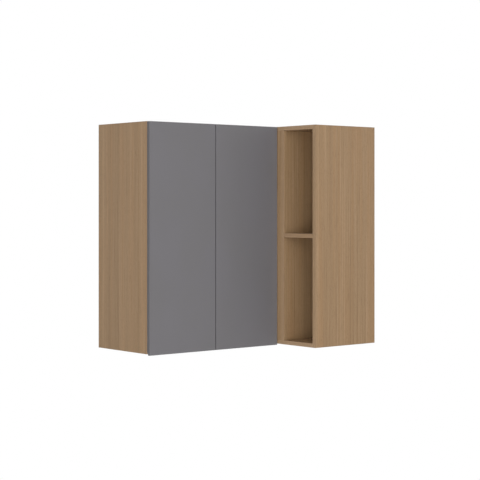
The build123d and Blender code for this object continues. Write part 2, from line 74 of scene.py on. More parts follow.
def makeCamera(plan):
    data = bpy.data.cameras.new("studioCamera")
    data.lens, data.sensor_width = plan["lens"], plan["sensor"]
    data.shift_y = plan["shiftY"]
    data.clip_end = plan["farLimit"]
    camera = bpy.data.objects.new("studioCamera", data)
    camera.location = plan["place"]
    camera.rotation_euler = (math.radians(90), 0, math.radians(plan["yaw"]))    # level
    bpy.context.scene.collection.objects.link(camera)
    bpy.context.scene.camera = camera


makeCamera(cameraPlan)
print("camera placed")


# sRGB hex to linear: c / 12.92 up to 0.04045, and ((c + 0.055) / 1.055) to the power 2.4 above it
def colour(hexText):
    channels = [int(hexText[i:i + 2], 16) / 255 for i in (0, 2, 4)]
    linear = [c / 12.92 if c <= 0.04045 else ((c + 0.055) / 1.055) ** 2.4 for c in channels]
    return (*linear, 1.0)


# Adds one node with its settings. Its inputs come by name, or as a list in the order of the sockets in
# use. Each is a value, a socket, or a node, which stands for its own result.
def add(tree, kind, inputs=(), **settings):
    node = tree.nodes.new("ShaderNode" + kind)
    for name, value in settings.items():
        setattr(node, name, value)
    inUse = [place for place, socket in enumerate(node.inputs) if socket.enabled]
    for key, value in inputs.items() if isinstance(inputs, dict) else zip(inUse, inputs):
        if isinstance(value, bpy.types.Node):
            value = next(socket for socket in value.outputs if socket.enabled)
        if isinstance(value, bpy.types.NodeSocket):
            tree.links.new(value, node.inputs[key])
        else:
            node.inputs[key].default_value = value
    return node


# A material with an empty tree, and the object's own coordinates
def newMaterial(name):
    material = bpy.data.materials.new(name)
    material.use_nodes = True
    tree = material.node_tree
    tree.nodes.clear()
    return material, tree, add(tree, "TexCoord").outputs


# Noise whose cells measure about size = (x, y, z) millimetres. Detail is the number of finer layers on
# it, and roughness is their strength.
def grainNoise(tree, place, size, detail=2.0, roughness=0.5):
    scaled = add(tree, "Mapping", {"Vector": place, "Scale": [1 / (length * millimetre) for length in size]})
    return add(tree, "TexNoise", {"Vector": scaled, "Scale": 1.0, "Detail": detail, "Roughness": roughness})


# The same in lengthwise strips, with their width and length in millimetres
def stripNoise(tree, place, width, length, *layers):
    return grainNoise(tree, place, (width, width, length), *layers)


axisIndex = {"x": 0, "y": 1, "z": 2}
axisTurn = {"x": (0, -math.pi / 2, 0), "y": (math.pi / 2, 0, 0), "z": (0, 0, 0)}    # turns it to Z


# 1 where the surface faces along one axis, either way or only towards its high end, else 0. It faces so
# where more than half of its normal's length lies along that axis.
def facing(tree, coordinates, axis, highOnly=False):
    normal = add(tree, "SeparateXYZ", [coordinates["Normal"]]).outputs[axisIndex[axis]]
    steep = normal if highOnly else add(tree, "Math", [normal], operation="ABSOLUTE")
    return add(tree, "Math", [steep, 0.5], operation="GREATER_THAN")


# Object coordinates measured from the board's middle and turned so that the grain runs along Z
def grainPlace(tree, coordinates, centre, grain, shift):
    turn = Euler(axisTurn[grain])
    turned = turn.to_matrix() @ Vector(centre)
    offset = [step - value for step, value in zip(shift, turned)]
    return add(tree, "Mapping", {"Vector": coordinates["Object"], "Rotation": turn, "Location": offset})


# Depth of a point below each pair of the board's faces, smallest and second smallest of the three
def depths(tree, coordinates, low, high):
    middle, half = list((low + high) / 2), list((high - low) / 2)
    fromMiddle = add(tree, "VectorMath", [coordinates["Object"], middle], operation="SUBTRACT")
    distance = add(tree, "VectorMath", [fromMiddle], operation="ABSOLUTE")
    depth = add(tree, "VectorMath", [half, distance], operation="SUBTRACT")
    x, y, z = add(tree, "SeparateXYZ", [depth]).outputs
    lesser = add(tree, "Math", [x, y], operation="MINIMUM")
    greater = add(tree, "Math", [x, y], operation="MAXIMUM")
    smallest = add(tree, "Math", [lesser, z], operation="MINIMUM")
    beyond = add(tree, "Math", [greater, z], operation="MINIMUM")
    return smallest, add(tree, "Math", [lesser, beyond], operation="MAXIMUM")


# Oak-look melamine board: paper printed with fine straight grain, pressed on chipboard under a satin
# resin skin. It gives soft lengthwise streaks, short dark pores that are pressed in, and an even,
# low gloss. The edge bands are a little paler than the faces. Where a bore or groove cuts through
# the skin, and on the edges that face a wall, the chips show.
oakDecor = {
    "dark": "7E6445",
    "middle": "9C7F5E",
    "light": "B19372",
    "warm": "A37E57",
    "pore": "6A5339",
    "band": (34.0, 2600.0),             # width and length of a strip in millimetres
    "streak": (7.0, 1500.0, 3.0, 0.62),     # and then, where they differ, its detail and roughness
    "fibre": (2.2, 240.0),
    "shares": (0.3, 0.42, 0.28),        # of band, streak and fibre in the tone
    "toMiddle": (0.33, 0.5, 0.0, 1.0),  # noise from and to, then colour share from and to
    "toLight": (0.5, 0.66, 0.0, 1.0),
    "warmth": (18.0, 900.0, 1.0),
    "toWarm": (0.45, 0.75, 0.0, 0.4),
    "pores": (1.0, 34.0, 1.0),          # groups of pores, wide enough to show from a step away
    "toPores": (0.6, 0.72, 0.0, 0.45),
    "finePores": (0.42, 7.0, 1.0),      # single pores
    "toFinePores": (0.62, 0.68, 0.0, 0.6),
    "wander": (160.0, 900.0, 1.0),
    "wanderPush": 10.0,                 # carries the streaks about 2.5 mm to either side
    "edge": "AB8F73",
    "edgeShare": 0.5,
    "bandSeam": (0.5, 1.0),             # glue line of the edge band, from the board's arris
    "seam": "5E4A36",
    "seamShare": 0.6,
    "skin": 0.4,                        # a point deeper than this in the board lies in a cut
    "chipDark": "8A6A45",
    "chipLight": "BD9E72",
    "chips": ((2.5, 2.5, 2.5), 3.0, 0.7),   # size, detail and roughness
    "toChipLight": (0.35, 0.65, 0.0, 1.0),
    "gloss": 0.4,
    "roughness": 0.43,
    "poreRoughness": 0.15,
    "toSatin": (0.3, 0.7, 0.0, 0.07),   # streak noise, then roughness added
    "chipRoughness": 0.85,
    "relief": 0.6,
    "poreDepth": 0.05,
}


# Printed oak: band, streak and fibre noises, each times its share and added, pick a tone from dark over
# middle to light. A slow noise warms it, and pores are where either of two narrow noises passes a
# threshold.
def oakPrint(tree, place, look):
    centred = add(tree, "Math", [stripNoise(tree, place, *look["wander"]), 0.5], operation="SUBTRACT")
    push = add(tree, "Math", [centred, look["wanderPush"] * millimetre], operation="MULTIPLY")
    bent = add(tree, "VectorMath", [place, add(tree, "CombineXYZ", [push, push])], operation="ADD")
    band, streak, fibre, warmth = (
        stripNoise(tree, bent, *look[size]) for size in ("band", "streak", "fibre", "warmth"))
    tone, pore = 0.0, 0.0
    for noise, share in zip((band, streak, fibre), look["shares"]):
        tone = add(tree, "Math", [noise, share, tone], operation="MULTIPLY_ADD")
    wood = colour(look["dark"])
    for noise, ease, paint in ((tone, "toMiddle", "middle"), (tone, "toLight", "light"),
                               (warmth, "toWarm", "warm")):
        share = add(tree, "MapRange", [noise, *look[ease]], interpolation_type="SMOOTHSTEP")
        wood = add(tree, "Mix", [share, wood, colour(look[paint])], data_type="RGBA")
    for size, ease in (("pores", "toPores"), ("finePores", "toFinePores")):
        narrow = stripNoise(tree, bent, *look[size])
        share = add(tree, "MapRange", [narrow, *look[ease]], interpolation_type="SMOOTHSTEP")
        pore = add(tree, "Math", [pore, share], operation="MAXIMUM")
    return add(tree, "Mix", [pore, wood, colour(look["pore"])], data_type="RGBA"), pore, streak


# Where chips show: in cuts through the skin, on edges that face a wall, and on all edges of a rail
def bareBoard(tree, coordinates, node, high, thin, smallest, look):
    cut = add(tree, "Math", [smallest, look["skin"] * millimetre], operation="GREATER_THAN")
    wallAxes = [axis for axis in "xy" if axis != thin
                and abs(high[axisIndex[axis]] - cadBox[1][axisIndex[axis]]) < millimetre]
    raw = [facing(tree, coordinates, axis, highOnly=True) for axis in wallAxes]
    if "rail" in node:
        raw.append(add(tree, "Math", [1.0, facing(tree, coordinates, thin)], operation="SUBTRACT"))
    for patch in raw:
        cut = add(tree, "Math", [cut, patch], operation="MAXIMUM")
    return cut


def oakMelamine(node, grain, shift, look):
    material, tree, coordinates = newMaterial("oakMelamine_" + node)
    low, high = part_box(node)
    bySize = sorted("xyz", key=lambda axis: high[axisIndex[axis]] - low[axisIndex[axis]])
    thin, widest = bySize[0], [axis for axis in bySize if axis != grain][-1]
    centre = (low + high) / 2
    along = grainPlace(tree, coordinates, centre, grain, shift)
    across = grainPlace(tree, coordinates, centre, widest, shift)
    place = add(tree, "Mix", [facing(tree, coordinates, grain), along, across], data_type="VECTOR")
    wood, pore, streak = oakPrint(tree, place, look)

    smallest, second = depths(tree, coordinates, low, high)
    onFace = facing(tree, coordinates, thin)
    paler = add(tree, "Math", [onFace, -look["edgeShare"], look["edgeShare"]], operation="MULTIPLY_ADD")
    wood = add(tree, "Mix", [paler, wood, colour(look["edge"])], data_type="RGBA")
    seam = add(tree, "Math", [onFace, look["seamShare"]], operation="MULTIPLY")
    for limit, operation in zip(look["bandSeam"], ("GREATER_THAN", "LESS_THAN")):
        inside = add(tree, "Math", [second, limit * millimetre], operation=operation)
        seam = add(tree, "Math", [seam, inside], operation="MULTIPLY")
    wood = add(tree, "Mix", [seam, wood, colour(look["seam"])], data_type="RGBA")

    chips = grainNoise(tree, coordinates["Object"], *look["chips"])
    pale = add(tree, "MapRange", [chips, *look["toChipLight"]], interpolation_type="SMOOTHSTEP")
    core = add(tree, "Mix", [pale, colour(look["chipDark"]), colour(look["chipLight"])], data_type="RGBA")
    bare = 0.0      # the notch of the main shelf lies inside its box and keeps its band
    if node != "main_shelf":
        bare = bareBoard(tree, coordinates, node, high, thin, smallest, look)
    satin = add(tree, "MapRange", [streak, *look["toSatin"]], interpolation_type="SMOOTHSTEP")
    printed = add(tree, "Math", [pore, look["poreRoughness"], look["roughness"]], operation="MULTIPLY_ADD")
    skin = add(tree, "Math", [printed, satin], operation="ADD")
    chipRough = add(tree, "Math", [bare, look["chipRoughness"]], operation="MULTIPLY")
    raised = add(tree, "Math", [chips, bare], operation="MULTIPLY")
    height = add(tree, "Math", [raised, pore], operation="SUBTRACT")
    shader = add(tree, "BsdfPrincipled", {
        "Base Color": add(tree, "Mix", [bare, wood, core], data_type="RGBA"),
        "Roughness": add(tree, "Math", [skin, chipRough], operation="MAXIMUM"),
        "Specular IOR Level": look["gloss"],
        "Normal": add(tree, "Bump", {"Strength": look["relief"], "Distance": look["poreDepth"] * millimetre,
                                     "Height": height}),
    })
    add(tree, "OutputMaterial", [shader])
    return material


# Matt lacquered fibreboard: grey two-part lacquer, sprayed. It gives a dead even colour, a very
# fine orange peel and a wide, weak highlight. The thin edges are painted darker: painted shade standing in
# for the shadow on the door's edges.
greyLacquer = {
    "colour": "706E71",
    "shade": "6F6D6F",
    # edge: painted shade, a darker colour on the door's thin edges in place of their shadow
    "edge": "605E60",
    "mottle": (130.0, 130.0, 180.0),    # size in millimetres
    "toColour": (0.3, 0.7, 0.0, 1.0),
    "peel": ((1.6, 1.6, 1.6), 1.0),     # size and detail. Real orange peel is about 1 mm across.
    "relief": 0.5,
    "peelDepth": 0.012,
    "gloss": 0.35,
    "roughness": 0.505,
    "mottleRoughness": 0.03,
}


def sprayedLacquer(name, look):
    material, tree, coordinates = newMaterial(name)
    place = coordinates["Object"]
    mottle = grainNoise(tree, place, look["mottle"])
    share = add(tree, "MapRange", [mottle, *look["toColour"]], interpolation_type="SMOOTHSTEP")
    face = add(tree, "Mix", [share, colour(look["shade"]), colour(look["colour"])], data_type="RGBA")
    # onFace is 1 on the door's front and back; on the thin edges the colour is the painted shade
    onFace = facing(tree, coordinates, "y")
    rough = [mottle, look["mottleRoughness"], look["roughness"]]
    peel = grainNoise(tree, place, *look["peel"])
    shader = add(tree, "BsdfPrincipled", {
        "Base Color": add(tree, "Mix", [onFace, colour(look["edge"]), face], data_type="RGBA"),
        "Roughness": add(tree, "Math", rough, operation="MULTIPLY_ADD"),
        "Specular IOR Level": look["gloss"],
        "Normal": add(tree, "Bump", {"Strength": look["relief"], "Distance": look["peelDepth"] * millimetre,
                                     "Height": peel}),
    })
    add(tree, "OutputMaterial", [shader])
    return material


# Thin hardboard back: wet-pressed wood fibre. The room side is printed with the oak decor, the wall
# side stays raw and brown, with darker fibre clots and the sieve marks of the press.
hardboard = {
    "raw": "7B5B3C",
    "clot": "684B30",
    "clots": ((9.0, 9.0, 9.0), 4.0, 0.7),   # size, detail and roughness
    "fibres": ((1.5, 1.5, 1.5), 2.0, 0.7),
    "toRaw": (0.35, 0.65, 0.0, 1.0),
    "printShift": (0.31, 0.17, 0.05),   # place in the decor, in metres
    "sieve": 2.2,                       # spacing of the press sieve's marks in millimetres
    "relief": 0.5,
    "sieveDepth": 0.12,
    "gloss": 0.35,
    "printRoughness": 0.5,
    "rawRoughness": 0.8,
}


# Sieve marks: height = sin(2 pi a / spacing) * sin(2 pi b / spacing) + fibre noise, on the raw side. All
# of it is raw but the face towards the low end of the axis, the room's.
def printedHardboard(node, axis, look):
    material, tree, coordinates = newMaterial("printedHardboard_" + node)
    low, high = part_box(node)
    decor = grainPlace(tree, coordinates, (low + high) / 2, "z", look["printShift"])
    wood = oakPrint(tree, decor, oakDecor)[0]
    normal = add(tree, "SeparateXYZ", [coordinates["Normal"]]).outputs[axisIndex[axis]]
    rawSide = add(tree, "Math", [normal, -0.5], operation="GREATER_THAN")
    place = coordinates["Object"]
    clots = grainNoise(tree, place, *look["clots"])
    fibres = grainNoise(tree, place, *look["fibres"])
    half = add(tree, "Math", [clots, 0.5], operation="MULTIPLY")
    both = add(tree, "Math", [fibres, 0.5, half], operation="MULTIPLY_ADD")
    share = add(tree, "MapRange", [both, *look["toRaw"]], interpolation_type="SMOOTHSTEP")
    raw = add(tree, "Mix", [share, colour(look["clot"]), colour(look["raw"])], data_type="RGBA")
    spot = add(tree, "SeparateXYZ", [place]).outputs
    perMetre = 2 * math.pi / (look["sieve"] * millimetre)
    marks = 1.0
    for side in ("x" if axis == "y" else "y", "z"):
        turn = add(tree, "Math", [spot[axisIndex[side]], perMetre], operation="MULTIPLY")
        wave = add(tree, "Math", [turn], operation="SINE")
        marks = add(tree, "Math", [marks, wave], operation="MULTIPLY")
    height = add(tree, "Math", [marks, fibres], operation="ADD")
    rough = [rawSide, look["rawRoughness"] - look["printRoughness"], look["printRoughness"]]
    shader = add(tree, "BsdfPrincipled", {
        "Base Color": add(tree, "Mix", [rawSide, wood, raw], data_type="RGBA"),
        "Roughness": add(tree, "Math", rough, operation="MULTIPLY_ADD"),
        "Specular IOR Level": look["gloss"],
        "Normal": add(tree, "Bump", {"Strength": look["relief"], "Distance": look["sieveDepth"] * millimetre,
                                     "Height": add(tree, "Math", [height, rawSide], operation="MULTIPLY")}),
    })
    add(tree, "OutputMaterial", [shader])
    return material


# Metals, plastics and dowels. Each has a base colour, a second tone in soft clouds, cloud and grain size
# in millimetres, its roughness and how far that spreads, and the grain's depth in millimetres.
smallFinishes = {
    # nickel-plated steel, pressed and barrel-plated: warm, bright, with faint drawing lines
    "nickelPlatedSteel": {"colour": "DEDAD2", "tone": "CCC7BD", "cloud": 9.0, "grain": (0.3, 0.3, 4.0),
                          "metallic": 1.0, "roughness": 0.34, "spread": 0.12, "depth": 0.006},
    # zinc die casting, tumbled: dull grey, finely pitted
    "castZinc": {"colour": "A9ABAD", "tone": "8F9194", "cloud": 4.0, "grain": (0.5, 0.5, 0.5),
                 "metallic": 1.0, "roughness": 0.5, "spread": 0.16, "depth": 0.03},
    # bright zinc-plated steel of the screws, bolts and shelf pins: cool, silky, a little cloudy
    "zincPlatedSteel": {"colour": "D3D6D8", "tone": "BCC0C4", "cloud": 3.0, "grain": (0.4, 0.4, 0.4),
                        "metallic": 1.0, "roughness": 0.32, "spread": 0.14, "depth": 0.008},
    # clear soft polyurethane buffer: milky, rubbery, slightly tacky sheen
    "softPolyurethane": {"colour": "CFCFC8", "tone": "BDBDB5", "cloud": 2.0, "grain": (0.6, 0.6, 0.6),
                         "metallic": 0.0, "roughness": 0.38, "spread": 0.1, "depth": 0.01},
    # extruded brown ABS strip: matt, with drag lines along its length
    "extrudedAbs": {"colour": "95795A", "tone": "8A7052", "cloud": 20.0, "grain": (0.8, 0.8, 90.0),
                    "metallic": 0.0, "roughness": 0.5, "spread": 0.12, "depth": 0.02},
    # turned beech dowel: pale pink-brown, with short dark flecks along the grain
    "turnedBeech": {"colour": "C9A37C", "tone": "B1875F", "cloud": 3.0, "grain": (0.5, 3.0, 3.0),
                    "metallic": 0.0, "roughness": 0.62, "spread": 0.15, "depth": 0.05},
}
cloudPattern = {
    "toColour": (0.35, 0.65, 0.0, 1.0),
    "cloudLayers": (3.0, 0.6),          # the noise's detail and roughness
    "grainLayers": (2.0, 0.6),
    "grainShare": 0.6,                  # of the grain in the roughness, where clouds make up the rest
    "relief": 0.4,
}


def cloudedFinish(name, look, pattern):
    material, tree, coordinates = newMaterial(name)
    place = coordinates["Object"]
    clouds = grainNoise(tree, place, (look["cloud"],) * 3, *pattern["cloudLayers"])
    grain = grainNoise(tree, place, look["grain"], *pattern["grainLayers"])
    share = add(tree, "MapRange", [clouds, *pattern["toColour"]], interpolation_type="SMOOTHSTEP")
    cloudPart = add(tree, "Math", [clouds, 1 - pattern["grainShare"]], operation="MULTIPLY")
    blend = add(tree, "Math", [grain, pattern["grainShare"], cloudPart], operation="MULTIPLY_ADD")
    lowest = look["roughness"] - look["spread"]
    tones = [share, colour(look["tone"]), colour(look["colour"])]
    shader = add(tree, "BsdfPrincipled", {
        "Base Color": add(tree, "Mix", tones, data_type="RGBA"),
        "Metallic": look["metallic"],
        "Roughness": add(tree, "Math", [blend, look["spread"] * 2, lowest], operation="MULTIPLY_ADD"),
        "Normal": add(tree, "Bump", {"Strength": pattern["relief"], "Distance": look["depth"] * millimetre,
                                     "Height": grain}),
    })
    add(tree, "OutputMaterial", [shader])
    return material


finishes = {name: cloudedFinish(name, look, cloudPattern) for name, look in smallFinishes.items()}
finishes["sprayedGreyLacquer"] = sprayedLacquer("sprayedGreyLacquer", greyLacquer)
print("materials made:", len(finishes))


def dress(node, material):
    slots = nodes[node].data.materials
    slots.clear()
    slots.append(material)


# Each board's grain direction. Shelves and rails run with their front edge.
boardGrain = {
    "left_side_panel": "z", "right_side_panel": "z", "hinge_stile": "z", "blind_front_panel": "z",
    "niche_outer_side": "z", "niche_inner_side": "z", "corner_filler": "z", "rear_batten": "z",
    "top_panel": "x", "bottom_panel": "x", "main_shelf": "x",
    "upper_hanging_rail": "x", "lower_hanging_rail": "x",
    "niche_top_panel": "y", "niche_bottom_panel": "y", "niche_shelf": "y",
    "niche_upper_rail": "y", "niche_lower_rail": "y",
}
cutting = {"seed": 11, "reach": 4.0}    # every board is cut from another place of the decor, in metres
dice = np.random.default_rng(cutting["seed"])
cuttingPlaces = dice.uniform(-cutting["reach"], cutting["reach"], (len(boardGrain), 3))
for (board, grain), shift in zip(boardGrain.items(), cuttingPlaces):
    dress(board, oakMelamine(board, grain, shift.tolist(), oakDecor))

for back, axis in (("back_panel_left", "y"), ("back_panel_right", "y"), ("niche_back_panel", "x")):
    dress(back, printedHardboard(back, axis, hardboard))

for node in nodes:
    if node in ("left_door", "right_door"):
        dress(node, finishes["sprayedGreyLacquer"])
    elif "hinge_" in node and node != "hinge_stile" or "link" in node or node.endswith("cup_pins"):
        dress(node, finishes["nickelPlatedSteel"])
for node, finish in (("cam_housings", "castZinc"), ("shelf_pins", "zincPlatedSteel"),
                     ("back_joiner_strip", "extrudedAbs")):
    dress(node, finishes[finish])
print("CAD nodes dressed")


# Lowest and highest corner of a node, as the rows of an array, in metres
def corners(node):
    return np.array(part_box(node))


# Faces of closed turned shapes: each has a point at the start, rings of points and a point at the end
def turnedFaces(rings, columns, copies):
    size = rings * columns + 2
    column = np.arange(columns)
    following = (column + 1) % columns
    ring = 1 + columns * np.arange(rings - 1)[:, None]
    below = ring + columns
    quads = np.stack([ring + column, below + column, below + following, ring + following], -1)
    last = 1 + columns * (rings - 1)
    start = np.stack([np.zeros(columns, int), 1 + column, 1 + following], -1)
    end = np.stack([np.full(columns, size - 1), last + following, last + column], -1)
    offsets = size * np.arange(copies)[:, None, None]
    triangles = np.concatenate([start, end])[None] + offsets
    quads = quads.reshape(1, -1, 4) + offsets
    return triangles.reshape(-1, 3).tolist() + quads.reshape(-1, 4).tolist()


turning = {
    "steepAxis": 0.9,       # an axis whose z part is above this is squared with X, others with Z
    "sharpAngle": 35.0,     # degrees between two faces, above which their edge stays crisp
}


# Copies of one turned shape, one at each (seat, outward axis) pair: its points, given in millimetres as
# (across, across, height), are put at the seat with their height along the axis
def turnedPiece(name, rings, places, body, material, stands):
    seats, axes = (np.array(values, float) for values in zip(*places))
    upright = np.abs(axes[:, 2:]) > turning["steepAxis"]
    helper = np.where(upright, (1.0, 0.0, 0.0), (0.0, 0.0, 1.0))
    side = np.cross(helper, axes)
    side /= np.linalg.norm(side, axis=1, keepdims=True)
    basis = np.stack([side, np.cross(axes, side), axes], 1)
    ends = np.stack([rings[0].mean(0), rings[-1].mean(0)])
    local = np.concatenate([ends[:1], rings.reshape(-1, 3), ends[1:]]) * millimetre
    points = seats[:, None] + local[None] @ basis
    mesh = bpy.data.meshes.new(name)
    mesh.from_pydata(points.reshape(-1, 3).tolist(), [], turnedFaces(*rings.shape[:2], len(seats)))
    mesh.shade_smooth()
    mesh.set_sharp_from_angle(angle=math.radians(turning["sharpAngle"]))
    mesh.materials.append(finishes[material])
    piece = bpy.data.objects.new(name, mesh)
    bpy.context.scene.collection.objects.link(piece)
    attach(piece, body)
    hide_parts(stands)


# 0 up to low and 1 from high on, with the easing t * t * (3 - 2 * t) between
def smoothStep(value, low, high):
    t = np.clip((value - low) / (high - low), 0, 1)
    return t * t * (3 - 2 * t)


# Evenly spaced angles once round a turned piece
def roundAngles(plan):
    return np.linspace(0, 2 * math.pi, plan["columns"], endpoint=False)


# Points (radius * cos(angle), radius * sin(angle), height), one ring of them in each row
def ringPoints(radius, angle, height):
    return np.stack(np.broadcast_arrays(radius * np.cos(angle), radius * np.sin(angle), height), -1)


# Rings of constant radius and height, one for each (radius, height) pair of a profile
def plainRings(profile, angle):
    radius, height = (np.array(values, float)[:, None] for values in zip(*profile))
    return ringPoints(radius, angle, height)


# Thread: between start and end depth the radius falls below the outer one by the thread's depth times
# a triangle wave of (depth / pitch + angle / one turn). Near the end it tapers to the tip's share.
def threadRings(radius, start, end, plan, angle):
    rows = int((end - start) / plan["pitch"] * plan["rowsPerPitch"])
    depth = np.linspace(start, end, rows)[:, None]
    phase = (depth / plan["pitch"] + angle[None] / (2 * math.pi)) % 1.0
    full = smoothStep(end - depth, 0, plan["taper"])
    share = plan["tip"] + (1 - plan["tip"]) * full
    return ringPoints((radius - plan["threadDepth"] * np.abs(2 * phase - 1)) * share, angle, -depth)


# Hinge screws: low dome head, cross recess and thread. Sizes in millimetres.
domeScrew = {
    "headRadius": 3.4, "headHeight": 1.4, "rimHeight": 0.5, "innerRadius": 0.1,
    "recessDepth": 0.95, "recessReach": 2.1, "bladeHalf": 0.45, "softening": 0.3,
    "neck": 0.2, "pitch": 1.4, "rowsPerPitch": 6, "threadDepth": 0.45, "taper": 2.1, "tip": 0.35,
    "columns": 48, "topRings": 20,
    "smallShank": (1.8, 11.0),      # radius and length
    "armShank": (2.2, 8.3),
}
# Their seats: millimetres in from the upright, behind the carcass's front, and above the hinge's middle
hingeSpots = {
    "cupScrews": {"inset": 13.0, "lines": (-1.0,), "steps": (-26.0, 26.0)},
    "plateScrews": {"inset": 2.0, "lines": (37.0,), "steps": (-16.0, 16.0)},
    "armScrews": {"inset": 10.4, "lines": (37.0, 55.0), "steps": (0.0,)},
}


# Head: height = rim + (full - rim) * sqrt(1 - (radius / head radius) ** 2), less the recess. A point is
# in the recess where it lies within half a blade of one axis and within the blade's reach along it.
def domeScrewRings(shankRadius, shankLength, plan):
    angle = roundAngles(plan)
    radius = np.linspace(plan["innerRadius"], plan["headRadius"], plan["topRings"])[:, None]
    dome = np.sqrt(np.clip(1 - (radius / plan["headRadius"]) ** 2, 0, 1))
    height = plan["rimHeight"] + (plan["headHeight"] - plan["rimHeight"]) * dome
    x, y = np.abs(radius * np.cos(angle)), np.abs(radius * np.sin(angle))
    half, reach, soft = plan["bladeHalf"], plan["recessReach"], plan["softening"]
    blades = [(1 - smoothStep(beside, half * (1 - soft), half * (1 + soft)))
              * (1 - smoothStep(along, reach * (1 - soft), reach)) for along, beside in ((x, y), (y, x))]
    top = ringPoints(radius, angle, height - plan["recessDepth"] * np.maximum(*blades))
    rim = plainRings([(plan["headRadius"], 0.0), (shankRadius, 0.0)], angle)
    return np.concatenate([top, rim, threadRings(shankRadius, plan["neck"], shankLength, plan, angle)])


# Every hinge is measured from the inner face of its upright
def makeHingeScrews(plan, spots):
    front = corners("top_panel")[0, 1]
    small = domeScrewRings(*plan["smallShank"], plan)
    uprights = {"left": (corners("left_side_panel")[1, 0], 1), "right": (corners("hinge_stile")[0, 0], -1)}
    plateScrews, armScrews = [], []
    for side, (face, inward) in uprights.items():
        heights = [corners(side + level + "hinge_arm")[:, 2].mean() for level in ("_lower_", "_upper_")]
        seats = {name: [(face + inward * spot["inset"] * millimetre, front + line * millimetre,
                         height + step * millimetre)
                        for height in heights for line in spot["lines"] for step in spot["steps"]]
                 for name, spot in spots.items()}
        turnedPiece(side + "CupScrews", small, [(seat, (0, 1, 0)) for seat in seats["cupScrews"]],
                    side + "_door", "zincPlatedSteel", side + "_cup_screws")
        plateScrews += [(seat, (inward, 0, 0)) for seat in seats["plateScrews"]]
        armScrews += [(seat, (inward, 0, 0)) for seat in seats["armScrews"]]
    turnedPiece("hingePlateScrews", small, plateScrews, "carcass",
                "zincPlatedSteel", "hinge_plate_screws")
    turnedPiece("hingeArmScrews", domeScrewRings(*plan["armShank"], plan), armScrews, "carcass",
                "zincPlatedSteel", "hinge_arm_screws")


makeHingeScrews(domeScrew, hingeSpots)
print("hinge screws made")

# Long one-piece joining screws, flush in the boards, with a hex socket. Sizes in millimetres.
joiningScrew = {
    "headRadius": 3.6, "headHeight": 3.2, "innerRadius": 0.15, "sunk": 0.06,
    "socketDepth": 2.2, "socketAcross": 4.0, "softening": 0.1,
    "shankRadius": 2.5, "length": 48.0, "neck": 9.0,
    "pitch": 3.0, "rowsPerPitch": 6, "threadDepth": 0.9, "taper": 4.5, "tip": 0.35,
    "columns": 36, "topRings": 12,
    "stileInset": 20.0, "panelInset": 66.0, "fillerInset": 150.0,   # from the end of each joint
}


# Socket: a point is in it where its greatest distance along the three directions square to the flats
# is under half the width across them
def joiningScrewRings(plan):
    angle = roundAngles(plan)
    radius = np.linspace(plan["innerRadius"], plan["headRadius"], plan["topRings"])[:, None]
    sixth = math.pi / 3
    across = radius * np.cos((angle + sixth / 2) % sixth - sixth / 2)
    half, soft = plan["socketAcross"] / 2, plan["softening"]
    height = -plan["sunk"] - plan["socketDepth"] * (1 - smoothStep(across, half - soft, half + soft))
    top = ringPoints(radius, angle, height)
    shank, under, neck = plan["shankRadius"], plan["headHeight"], plan["neck"]
    rim = plainRings([(plan["headRadius"], -under), (shank, -under), (shank, -neck)], angle)
    return np.concatenate([top, rim, threadRings(shank, neck + soft, plan["length"], plan, angle)])


# Through the top and the bottom into every upright board, and through the blind panel into the filler
def makeJoiningScrews(plan):
    stile, blind, inner, filler, batten = (corners(node) for node in (
        "hinge_stile", "blind_front_panel", "niche_inner_side", "corner_filler", "rear_batten"))
    inset = plan["stileInset"] * millimetre
    spots = [(stile[:, 0].mean(), y) for y in (stile[0, 1] + inset, stile[1, 1] - inset)]
    inset = plan["panelInset"] * millimetre
    spots += [(x, board[:, 1].mean()) for board in (blind, inner)
              for x in (blind[0, 0] + inset, blind[1, 0] - inset)]
    spots += [tuple(board[:, :2].mean(0)) for board in (filler, batten)]
    low, high = corners("left_side_panel")[:, 2]
    places = [((x, y, z), (0, 0, way)) for x, y in spots for z, way in ((high, 1), (low, -1))]
    inset = plan["fillerInset"] * millimetre
    places += [((filler[:, 0].mean(), blind[1, 1], z), (0, 1, 0))
               for z in (low + inset, (low + high) / 2, high - inset)]
    turnedPiece("joiningScrews", joiningScrewRings(plan), places, "carcass",
                "zincPlatedSteel", "joining_screws")


makeJoiningScrews(joiningScrew)
print("joining screws made")

# Cam bolts and dowels in the ends of the boards. Sizes in millimetres. A profile lists (radius, height)
# from the head down. Seat is the depth of the upper end in the board, line its distance from the edge.
camBolt = {
    "seat": 16.4, "line": 45.0, "length": 26.4, "threadStart": 17.4, "radius": 3.0,
    "profile": [(1.7, 0.0), (2.5, -0.5), (2.7, -1.5), (2.5, -2.5), (1.5, -3.3), (1.5, -5.2), (2.3, -6.2),
                (2.3, -15.3), (3.0, -15.5), (3.0, -17.2)],
    "pitch": 1.8, "rowsPerPitch": 6, "threadDepth": 0.6, "taper": 1.5, "tip": 0.6, "columns": 36,
}
beechDowel = {
    "seat": 19.0, "line": 85.0, "length": 30.0, "radius": 4.0, "chamfer": 1.0,
    "flutes": 18, "fluteDepth": 0.35, "columns": 108, "railSpread": 22.0,
}


# Joints in the ends of top and bottom boards: (point on the face that they meet, way into their end)
def boardEnds(line):
    leftFace, rightFace = corners("left_side_panel")[1, 0], corners("right_side_panel")[0, 0]
    nicheFace = corners("niche_outer_side")[1, 1]
    ends = []
    for main, niche in (("top_panel", "niche_top_panel"), ("bottom_panel", "niche_bottom_panel")):
        low, high = corners(main)
        level = (low[2] + high[2]) / 2
        ends += [((face, y, level), (way, 0, 0)) for face, way in ((leftFace, 1), (rightFace, -1))
                 for y in (low[1] + line, high[1] - line)]
        low, high = corners(niche)
        ends += [((x, nicheFace, level), (0, 1, 0)) for x in (low[0] + line, high[0] - line)]
    return ends


